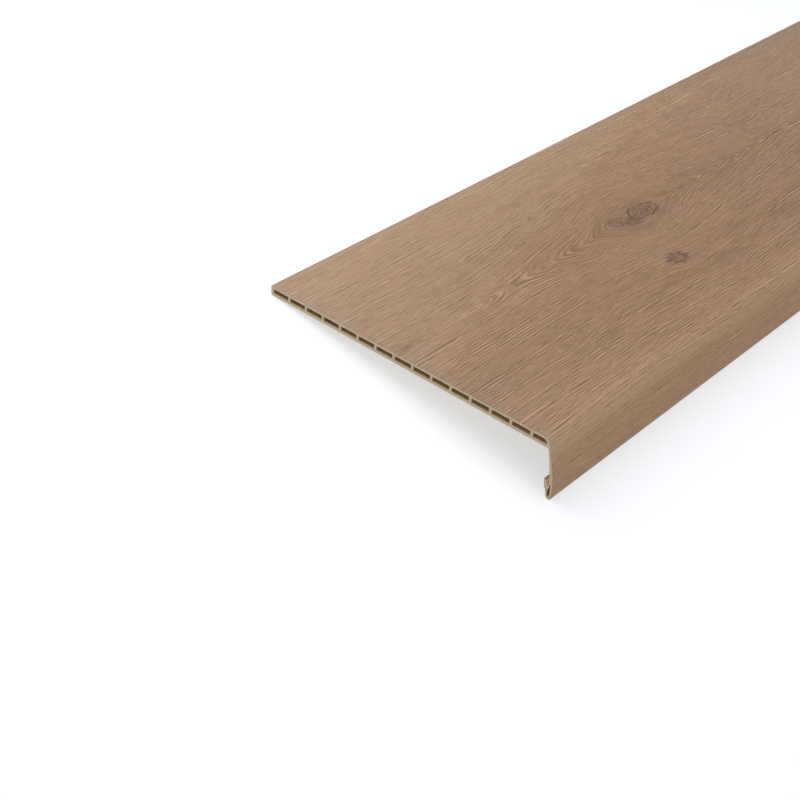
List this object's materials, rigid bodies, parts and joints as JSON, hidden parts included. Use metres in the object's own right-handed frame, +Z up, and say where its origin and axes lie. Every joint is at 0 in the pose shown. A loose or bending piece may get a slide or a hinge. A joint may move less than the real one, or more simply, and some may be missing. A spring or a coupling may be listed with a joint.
{
  "type": "stair tread",
  "caption": "Hollow-chamber stair tread: a flat board with a row of closed chambers, a turned-down leaning nose with an upturned lip at its toe, and an oak decor face.",
  "frame": {"origin": "on the floor, under the middle of the length and of the depth", "axes": "+X along the length, -Y towards the nose, +Z up. The tread lies as it rests: on its back lower edge and on its toe, so that the walking face slopes down to the back by 8.7 degrees"},
  "size_m": [1, 0.304, 0.0523],
  "materials": {
    "body": "matt beige compound",
    "decor": "matt oak decor with a fine embossed grain"
  },
  "bodies": {
    "root": {"tread_board": "body"}
  },
  "joints": []
}
